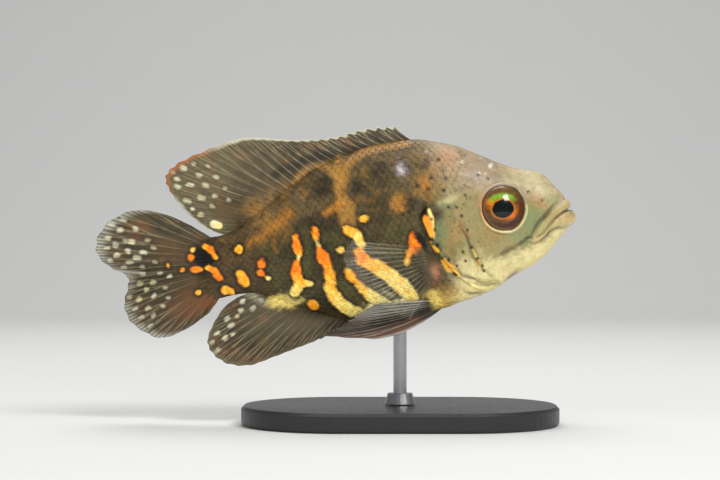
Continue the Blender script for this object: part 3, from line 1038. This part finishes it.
def build_eye(side, material):
    """An eyeball in its socket, looking out, a little forward and a little up."""
    up, forward = math.radians(EYE["up"]), math.radians(EYE["forward"])
    x_axis = np.array([math.cos(forward), math.sin(forward), 0])
    out = np.array([math.cos(up) * math.sin(forward), -math.cos(up) * math.cos(forward), math.sin(up)])
    origin = np.array([EYE["x"], EYE["sunk"] - half_width(EYE["x"], EYE["z"]), EYE["z"]])
    polar = np.linspace(0, math.pi, EYE_RINGS)[1:-1]
    turn = np.arange(EYE_SIDES) * 2 * math.pi / EYE_SIDES
    r, c = np.sin(polar)[:, None], np.cos(polar)[:, None]
    x = EYE["half"][0] * r * np.cos(turn)
    y = EYE["half"][1] * r * np.sin(turn)
    z = EYE["depth"] * c + EYE_SWELL * np.exp(-((np.hypot(x, y) / 2.6) ** 2)) * (c > 0)
    poles = [[0, 0, EYE["depth"] + EYE_SWELL], [0, 0, -EYE["depth"]]]
    local = np.vstack([np.stack([x, y, z], -1).reshape(-1, 3), poles])
    vertices = origin + local @ np.stack([x_axis, np.cross(out, x_axis), out])
    right = side == "right"
    if not right:
        vertices[:, 1] *= -1
    quads = grid_faces(len(polar), EYE_SIDES, wrap=True, flip=right)
    fans = end_fans(len(polar), EYE_SIDES, len(local) - 2, len(local) - 1, flip=not right)
    faces = np.vstack([quads[:, [0, 1, 2]], quads[:, [0, 2, 3]], fans])
    eyeball = new_mesh("eyeball_" + side, vertices, faces, eye_colours(local[:, 0], local[:, 1]))
    ride(eyeball, material, "eye", "eye_" + side)


eye_material = eye_finish()
for side in ("right", "left"):
    build_eye(side, eye_material)


# Fins.
def midline_place(guides, bow, sway):
    """Places on a fin of the midline, its rays bowed along it and swayed to the side."""
    roots, tips = [g[0] for g in guides], [g[1] for g in guides]
    last = len(guides) - 1

    def place(u, v):
        start, end = catmull(roots, u * last), catmull(tips, u * last)
        bend = bow(u) * v * (1 - v)
        d = end - start
        x = start[..., 0] + d[..., 0] * v - d[..., 1] * bend
        z = start[..., 1] + d[..., 1] * v + d[..., 0] * bend
        return np.stack([x, sway(u, v), z], -1)

    return place


def paired_place(guides, cup, sag, sweep=0.0):
    """Places on the right one of a pair of fins, cupped, sagging, and swept out from the body."""
    roots, tips = [g[0] for g in guides], [g[1] for g in guides]
    last = len(guides) - 1
    hinge = roots[3]

    def place(u, v):
        start, end = catmull(roots, u * last), catmull(tips, u * last)
        p = start + (end - start) * v[..., None]
        dx = p[..., 0] - hinge[0]
        dy = p[..., 1] + cup * np.sin(math.pi * v) - hinge[1]
        x = hinge[0] + dx * math.cos(sweep) + dy * math.sin(sweep)
        y = hinge[1] - dx * math.sin(sweep) + dy * math.cos(sweep)
        return np.stack([x, -y, p[..., 2] - sag * (1 - u) * 4 * v * (1 - v)], -1)

    return place


def dorsal_sway(u, v):
    return 1.3 * np.sin(4.2 * (u - SPINY)) * ease(SPINY, 0.75, u) * v * v


def anal_sway(u, v):
    return -0.9 * np.sin(math.pi * u) * v * v


def caudal_sway(u, v):
    lower = ease(0.36, 0.52, u) * (1 - 0.6 * ease(0.55, 1, u))
    return (CAUDAL_FOLD * lower - 0.8 * (1 - lower)) * v ** 1.7


def fin_grid(rays, rows, thickness, notch):
    """Numbers along the fin and up its rays, how much of a ray each place is, and half its thickness."""
    web, ridge, root = thickness
    depth, more, spines_end = notch
    columns = (rays - 1) * FIN_COLUMNS + 1
    u = np.linspace(0, 1, columns)[:, None] + np.zeros((1, rows + 1))
    off_ray = np.abs((np.arange(columns) / FIN_COLUMNS + 0.5) % 1 - 0.5)[:, None] * 2
    cut = (depth + more * (1 - ease(0.1, spines_end, u[:, :1]))) * ease(0, 1, off_ray)
    v = np.linspace(0, 1, rows + 1)[None, :] * (1 - cut)
    first_fork = 0.48 * ease(RAY_FORKS, 0.85, v)
    second_fork = 0.23 * ease(0.62, 0.98, v)
    off_ray = np.abs(np.abs(off_ray - first_fork) - second_fork)
    ray = np.exp(-((off_ray / (0.24 - 0.11 * ease(RAY_FORKS, 0.95, v))) ** 2))
    joints = 1 + 0.12 * np.sin(v * 150) * ease(0.2, 0.4, v)
    half = web + root * (1 - v) ** 3 + ridge * ray * joints * (1 - 0.7 * v)
    return u, v, ray, np.maximum(half * ease(1.02, 0.97, v), 0.025)


def solid_web(u, v, ray):
    return 1 - 0.14 * ease(0.6, 1.0, v) * (1 - ray)


def glassy_web(u, v, ray):
    return np.clip(0.04 + (0.28 - 0.12 * u) * ray * (1 - 0.5 * v) + 0.75 * ease(0.2, 0.02, v), 0, 1)


def build_fin(name, node, grid, place, paint, clear=solid_web, slot="fin", mirror=False):
    """A closed web between two faces, for the right side or the middle, or mirrored to the left."""
    u, v, ray, half = grid
    columns, rows = u.shape
    middle = place(u, v)
    normal = np.cross(np.gradient(middle, axis=0), np.gradient(middle, axis=1))
    normal /= np.maximum(np.linalg.norm(normal, axis=-1, keepdims=True), 1e-9)
    offset = normal * half[..., None]
    vertices = np.vstack([(middle + offset).reshape(-1, 3), (middle - offset).reshape(-1, 3)])
    if mirror:
        vertices[:, 1] *= -1
    total = columns * rows
    front = grid_faces(columns, rows, flip=mirror)
    back = grid_faces(columns, rows, flip=not mirror, start=total)
    rim = np.concatenate([
        np.arange(rows), np.arange(1, columns) * rows + rows - 1,
        (columns - 1) * rows + np.arange(rows - 2, -1, -1), np.arange(columns - 2, 0, -1) * rows,
    ])
    after = np.roll(rim, -1)
    walls = np.stack([rim, after, after + total, rim + total], 1)
    faces = np.vstack([front, back, walls if mirror else walls[:, ::-1]])
    uv = np.stack([u.ravel(), v.ravel()], 1) * [0.48, 0.98]
    colours = np.clip(paint(u, v, ray, middle), 0, 1).reshape(-1, 3)
    opacity = clear(u, v, ray).ravel()
    fin = new_mesh(name, vertices, faces, np.tile(colours, (2, 1)), clear=np.tile(opacity, 2),
                   uv=np.vstack([uv, uv + [0.51, 0]]))
    ride(fin, fin_finish, slot, node)


# Spots of the fins: x, y and radius in px.
DORSAL_SPOTS = [
    (183, 168, 3.2), (177, 179, 2.4), (199, 175, 2.6), (216, 177, 2.2), (177.4, 186.4, 2.4),
    (189.7, 185, 2.4), (205.5, 185.4, 2.4), (187, 200.7, 2.6), (201.4, 198, 2.8), (200.4, 214.5, 2.8),
    (192, 209, 1.8), (215, 196, 1.6), (225, 188, 1.5), (212, 206, 1.6), (229, 200, 1.4), (172, 172, 1.8),
    (194, 164, 1.6), (208, 166, 1.4),
]
CAUDAL_SPOTS = [
    (120.6, 230, 2.8), (132, 242, 2.6), (115.5, 245, 2.4), (128, 251, 2.4), (143.6, 252.5, 2.2),
    (117.4, 255, 2.2), (137, 257.6, 2.4), (129.5, 262, 2.2), (123, 267, 2), (142, 267, 2), (159, 273, 2),
    (169, 276.7, 1.8), (127, 298, 2), (137, 300, 2.4), (153, 296, 2), (146.8, 308.6, 2.4), (152, 316, 2),
    (139.7, 318, 2), (137.8, 284, 3), (152, 283, 2.8), (148, 240, 1.8), (154, 248, 1.8), (155, 262, 1.8),
    (108, 238, 2), (107, 248, 2), (112, 224, 2), (124, 220, 2), (136, 229, 2), (141, 274, 2),
    (165, 288, 1.8), (133, 310, 2), (162, 306, 1.8), (149, 326, 1.8), (168, 298, 1.4), (110, 260, 1.8),
    (126, 241, 1.6), (145, 290, 2),
]
ANAL_SPOTS = [
    (242.4, 301.6, 2.6), (241, 310, 2.2), (253, 308.7, 2.4), (227.3, 318.8, 2.4), (231, 325, 2.2),
    (217, 333, 2.2), (225, 337.4, 2), (217, 351, 2.4), (212, 342, 1.8), (237, 316, 1.6), (262, 300, 1.8),
    (233, 334, 1.4),
]
# Strokes of the fins: places in px.
DORSAL_REAR = [(222, 210), (232, 216)]
DORSAL_PALE_TIP = [(214, 224), (219, 225.5)]
DORSAL_DUSK = [(240, 172), (262, 158)]
DORSAL_REAR_EDGE = [(209, 232), (221, 235), (233, 237)]
DORSAL_ROOT_MARKS = [
    [(276, 174), (286, 167), (298, 166)], [(304, 160), (320, 157), (332, 155)], [(346, 152), (366, 149)],
]
ANAL_ROOT = [(246, 290), (256, 294), (264, 300)]
CAUDAL_CREASE = [(112, 271), (143, 273)]


def fin_ground(u, v, ray, p, pale, dark, rays):
    """Dusky web between paler rays, streaked along them."""
    along = np.stack([u * rays * 3.3, v * 2.2, 0 * u], -1)
    fine = np.stack([u * rays * 9.0, v * 5.0, 0 * u], -1)
    tone = 0.34 * noise(along, 1.0, 61) + 0.32 * noise(fine, 1.0, 66) + 0.14 * noise(p, 1.3, 67)
    blotchy = noise(p, 1.3, 69) + 0.7 * noise(p, 0.6, 70)
    rgb = lay(flood(u, dark), 0.85 * ease(0.3, 1.0, ray), pale)
    rgb = lay(rgb, 0.4 * ease(-0.1, 0.8, noise(p, 3.2, 65)), PAINT["peduncle"] * 0.95)
    rgb = lay(rgb, 0.22 * ease(0.1, 0.9, noise(p, 2.6, 68)), PAINT["rust"] * 0.6)
    rgb = lay(rgb, 0.45 * ease(0.1, 1.0, blotchy), PAINT["umber"] * 1.4)
    return rgb * (1 + tone[..., None])


def spots(rgb, p, places, ray, strength=0.9):
    """Pale spots, drawn out a little along the rays, each in a dusky surround."""
    x = p[..., 0] + 0.22 * noise(p, 0.6, 63)
    z = p[..., 2] + 0.22 * noise(p, 0.6, 64)
    for px, py, radius in places:
        rgb = brush(rgb, x, z, [(px, py)], radius + 2.6, PAINT["dark"], 5, 0.4)
    run = np.gradient(p, axis=1)
    vary = np.random.default_rng(65)
    for px, py, radius in places:
        centre = from_photo([(px, py)])[0]
        nearest = np.argmin(np.hypot(p[..., 0] - centre[0], p[..., 2] - centre[1]))
        i, j = np.unravel_index(nearest, ray.shape)
        d = run[i, j, [0, 2]]
        d = d / np.hypot(*d) * radius * vary.uniform(0.3, 0.75) / PHOTO_SCALE
        far, _, _ = along_stroke(x, z, [centre - d, centre + d])
        size = (0.82 * radius + 0.2) / PHOTO_SCALE
        covered = strength * (0.6 + 0.4 * ray) * vary.uniform(0.65, 1.0)
        warm = PAINT["spot"] + (PAINT["throat"] - PAINT["spot"]) * vary.uniform(0.0, 0.8)
        rgb = lay(rgb, covered * ease(size + 0.3, size - 0.3, far), warm)
    return rgb


def root_blend(rgb, v, p, reach):
    """The body's own colours, those of its right side, run a little way up the fin."""
    body = flank_paint(p[..., 0], 0 * p[..., 1] - 0.01, p[..., 2])
    return lay(rgb, ease(reach, reach * 0.35, v), body)


def dorsal_paint(u, v, ray, p):
    x, z = p[..., 0], p[..., 2]
    rgb = fin_ground(u, v, ray, p, PAINT["ray"] * 0.78, PAINT["web"], 32)
    rgb = lay(rgb, 0.45 * ease(0.35, 0.65, u) * ease(0.2, 0.7, v), PAINT["web_pale"])
    rgb = lay(rgb, 0.3 * ease(0.5, 0.1, u) * ease(0.9, 0.3, v), PAINT["fin_dark"])
    rgb = brush(rgb, x, z, DORSAL_REAR, [11, 9], PAINT["peduncle"], 10, 0.6)
    rgb = spots(rgb, p, DORSAL_SPOTS, ray)
    rgb = flame(rgb, x, z, DORSAL_PALE_TIP, [4, 3.4], [-0.5, -0.05], 0.9)
    rgb = brush(rgb, x, z, DORSAL_DUSK, [5, 6], PAINT["dark"], 14, 0.25)
    rgb = brush(rgb, x, z, DORSAL_REAR_EDGE, 1.6, PAINT["white"], 2, 0.8)
    hem = ease(0.93, 0.985, v / v[:, -1:])
    rgb = lay(rgb, 0.65 * hem * ease(0.5, 0.6, u) * ease(0.78, 0.7, u), PAINT["rust"])
    rgb = lay(rgb, 0.7 * hem * ease(0.6, 0.5, u), PAINT["spot"] * 0.85)
    rgb = lay(rgb, 0.55 * hem * ease(0.75, 0.8, u), PAINT["spot"])
    rgb = root_blend(rgb, v, p, 0.4)
    for mark in DORSAL_ROOT_MARKS:
        rgb = brush(rgb, x, z, mark, 4, PAINT["dark"], 6, 0.7)
    return rgb


def anal_paint(u, v, ray, p):
    rgb = fin_ground(u, v, ray, p, PAINT["ray"] * 0.66, PAINT["fin_dark"] * 1.2, 18)
    rgb = brush(rgb, p[..., 0], p[..., 2], ANAL_ROOT, [5, 6, 5], PAINT["spot"], 7, 0.3 + 0.4 * ray)
    rgb = lay(rgb, 0.35 * ease(0.75, 0.35, v) * ease(0.1, 0.3, u), PAINT["web_pale"] * 0.8)
    rgb = spots(rgb, p, ANAL_SPOTS, ray)
    rgb = lay(rgb, 0.5 * ease(0.94, 0.985, v / v[:, -1:]), PAINT["web_pale"])
    return root_blend(rgb, v, p, 0.3)


def caudal_paint(u, v, ray, p):
    rgb = fin_ground(u, v, ray, p, PAINT["ray"] * 0.7, PAINT["web"] * 0.82, 18)
    rgb = lay(rgb, 0.7 * ease(0.7, 0.1, v), PAINT["peduncle"] * 0.85)
    rgb = lay(rgb, 0.55 * ease(0.6, 0.95, u) * ease(0.95, 0.3, v), PAINT["rust"] * 0.5)
    rgb = lay(rgb, 0.3 * ease(0.3, 0.1, u) * ease(0.5, 0.9, v), PAINT["fin_dark"] * 0.7)
    rgb = spots(rgb, p, CAUDAL_SPOTS, ray, 0.85)
    rgb = brush(rgb, p[..., 0], p[..., 2], CAUDAL_CREASE, 1.2, PAINT["white"], 2, 0.6)
    margin = ease(0.86, 0.985, v) * ease(0.02, 0.1, u) * ease(0.97, 0.88, u)
    patchy = 0.75 + 0.5 * noise(np.stack([u * 60, v * 2, 0 * u], -1), 1.0, 72)
    rgb = lay(rgb, margin * patchy * (0.22 + 0.5 * ray), PAINT["white"] * 0.8)
    rgb = root_blend(rgb, v, p, 0.22)
    near_tail = ease(0.05, 0.09, v) * ease(0.62, 0.5, v)
    x, z = p[..., 0] + 0.28 * noise(p, 1.6, 12), p[..., 2] + 0.28 * noise(p, 1.6, 14)
    return lay(rgb, near_tail, flames(rgb, x, z))


def pectoral_paint(u, v, ray, p):
    rgb = fin_ground(u, v, ray, p, PAINT["white"] * 0.6, PAINT["ray"] * 0.9, 13)
    rgb = lay(rgb, 0.7 * ease(0.3, 0.1, v), PAINT["smoke"])
    return lay(rgb, 0.8 * ease(0.07, 0.02, v) * ease(0.5, 0.9, u), PAINT["pink"] * 0.8)


def pelvic_paint(u, v, ray, p):
    rgb = fin_ground(u, v, ray, p, PAINT["grey"] * 0.75, PAINT["fin_dark"] * 0.55, 9)
    silver = ease(0.5, 0.75, u) * ease(0.12, 0.3, v) * (0.35 + 0.65 * ray)
    sooty = ease(0.45, 0.1, v) * ease(0.1, 0.35, u) * ease(0.75, 0.5, u)
    rgb = lay(rgb, 0.55 * silver, PAINT["white"] * 0.66)
    rgb = lay(rgb, 0.8 * sooty, PAINT["black"] * 1.5)
    rgb = lay(rgb, 0.25 * ease(0.3, 0.0, u) * ease(0.2, 0.5, v), PAINT["pink"] * 0.5)
    rgb = lay(rgb, 0.5 * ease(0.04, 0.0, u) * ease(0.15, 0.4, v), PAINT["white"] * 0.7)
    return root_blend(rgb, v, p, 0.14)


# Grids of the fins: rays, points up a ray, half-thickness of web, ray and root in mm, and the notches
# between the rays: their depth, how much deeper they are among the spines, and where those end.
fin_finish = painted("Fin", 2400, (0.32, 0.5), 0.25, 0.14, clear=True, Coat_Weight=0.15)
dorsal_grid = fin_grid(33, 72, (0.07, 0.17, 0.5), (0.015, 0.09, SPINY))
anal_grid = fin_grid(19, 60, (0.07, 0.17, 0.45), (0.012, 0.06, 0.2))
caudal_grid = fin_grid(19, 80, (0.07, 0.18, 0.4), (0.015, 0.0, 1.0))
pectoral_grid = fin_grid(14, 56, (0.045, 0.13, 0.35), (0.02, 0.0, 1.0))
pelvic_grid = fin_grid(11, 56, (0.08, 0.24, 0.4), (0.04, 0.0, 1.0))

dorsal_place = midline_place(DORSAL, lambda u: 0.22 - 0.16 * ease(0, SPINY, u), dorsal_sway)
anal_place = midline_place(ANAL, lambda u: -0.06, anal_sway)
caudal_place = midline_place(CAUDAL, lambda u: 0, caudal_sway)
build_fin("dorsal_web", "dorsal_fin", dorsal_grid, dorsal_place, dorsal_paint)
build_fin("anal_web", "anal_fin", anal_grid, anal_place, anal_paint)
build_fin("caudal_web", "caudal_fin", caudal_grid, caudal_place, caudal_paint)
for side in ("right", "left"):
    left = side == "left"
    pectoral_place = paired_place(PECTORAL, 1.2, 0.0, PECTORAL_LEFT_SWEEP if left else 0.0)
    pelvic_place = paired_place(PELVIC, 0.3, 1.6)
    build_fin("pectoral_web_" + side, "pectoral_fin_" + side, pectoral_grid, pectoral_place, pectoral_paint,
              glassy_web, "clear_fin", left)
    build_fin("pelvic_web_" + side, "pelvic_fin_" + side, pelvic_grid, pelvic_place, pelvic_paint,
              mirror=left)


# The stand keeps its solids and gets its finishes.
steel = finish("Rod", 400, 2.0, (0.3, 0.36), Base_Color=(0.5, 0.5, 0.51, 1), Metallic=1.0)[0]
for node, material in (("stand_base", stand_finish()), ("stand_rod", steel)):
    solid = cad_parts[node].data
    solid.materials.clear()
    solid.materials.append(material)


# The studio: a pale floor that sweeps up into a backdrop, with soft lights.
FLOOR_HALF = 5.0
FLOOR_FRONT = -6.0
BACKDROP_Y = 0.9
BACKDROP_TOP = 1.6
SWEEP_RADIUS = 0.35
FISH_MIDDLE = (-0.01, 0.0, 0.04)
# Each light: place, aim, size, power, and whether the fish mirrors it.
LIGHTS = {
    "key": ((0.3, -0.4, 0.55), FISH_MIDDLE, 0.22, 3.2, True),
    "fill": ((-0.5, -0.4, 0.2), FISH_MIDDLE, 0.5, 1.5, False),
    "low": ((0.1, -0.5, 0.06), FISH_MIDDLE, 0.3, 1.7, False),
    "top": ((-0.05, 0.25, 0.6), FISH_MIDDLE, 0.4, 2.0, True),
    "backdrop": ((0.0, 0.2, 0.9), (0.0, 0.9, 0.25), 0.6, 2.2, True),
}
SKY = (0.9, 0.93, 1.0, 1)
SKY_STRENGTH = 0.22


def build_stage():
    profile = [(FLOOR_FRONT, 0.0), (BACKDROP_Y - SWEEP_RADIUS, 0.0)]
    for turn in np.linspace(0, math.pi / 2, 17)[1:]:
        y = BACKDROP_Y - SWEEP_RADIUS + SWEEP_RADIUS * math.sin(turn)
        profile.append((y, SWEEP_RADIUS - SWEEP_RADIUS * math.cos(turn)))
    profile.append((BACKDROP_Y, BACKDROP_TOP))
    vertices = [(x, y, z) for y, z in profile for x in (-FLOOR_HALF, FLOOR_HALF)]
    faces = [(2 * i, 2 * i + 1, 2 * i + 3, 2 * i + 2) for i in range(len(profile) - 1)]
    mesh = bpy.data.meshes.new("sweep")
    mesh.from_pydata(vertices, [], faces)
    mesh.polygons.foreach_set("use_smooth", np.ones(len(faces), bool))
    material, _, shader = new_material("Sweep")
    shader.inputs["Base Color"].default_value = (0.66, 0.66, 0.64, 1)
    shader.inputs["Roughness"].default_value = 0.85
    mesh.materials.append(material)
    in_scene("sweep", mesh)


def add_light(name, place, aim, size, power, mirrored):
    light = bpy.data.lights.new(name, "AREA")
    light.size = size
    light.energy = power
    lamp = in_scene(name, light)
    lamp.location = place
    lamp.rotation_euler = (Vector(aim) - Vector(place)).to_track_quat("-Z", "Y").to_euler()
    lamp.visible_glossy = mirrored


build_stage()
for name, settings in LIGHTS.items():
    add_light(name, *settings)
world = bpy.data.worlds.new("Studio")
world.use_nodes = True
sky = world.node_tree.nodes["Background"]
sky.inputs["Color"].default_value = SKY
sky.inputs["Strength"].default_value = SKY_STRENGTH
scene = bpy.context.scene
scene.world = world
scene.view_settings.view_transform = "Standard"

# The camera looks level at the right flank, as the photograph does.
camera = in_scene("camera", bpy.data.cameras.new("camera"))
camera.data.lens = LENS
camera.data.sensor_width = SENSOR
middle_x = (PHOTO_SIZE[0] / 2 - PHOTO_ORIGIN[0]) / PHOTO_SCALE
middle_z = BODY_HEIGHT + (PHOTO_ORIGIN[1] - PHOTO_SIZE[1] / 2) / PHOTO_SCALE
distance = PHOTO_SIZE[0] / PHOTO_SCALE * LENS / SENSOR
camera.location = (middle_x * MM, -distance * MM, middle_z * MM)
camera.rotation_euler = (math.pi / 2, 0, 0)
scene.camera = camera
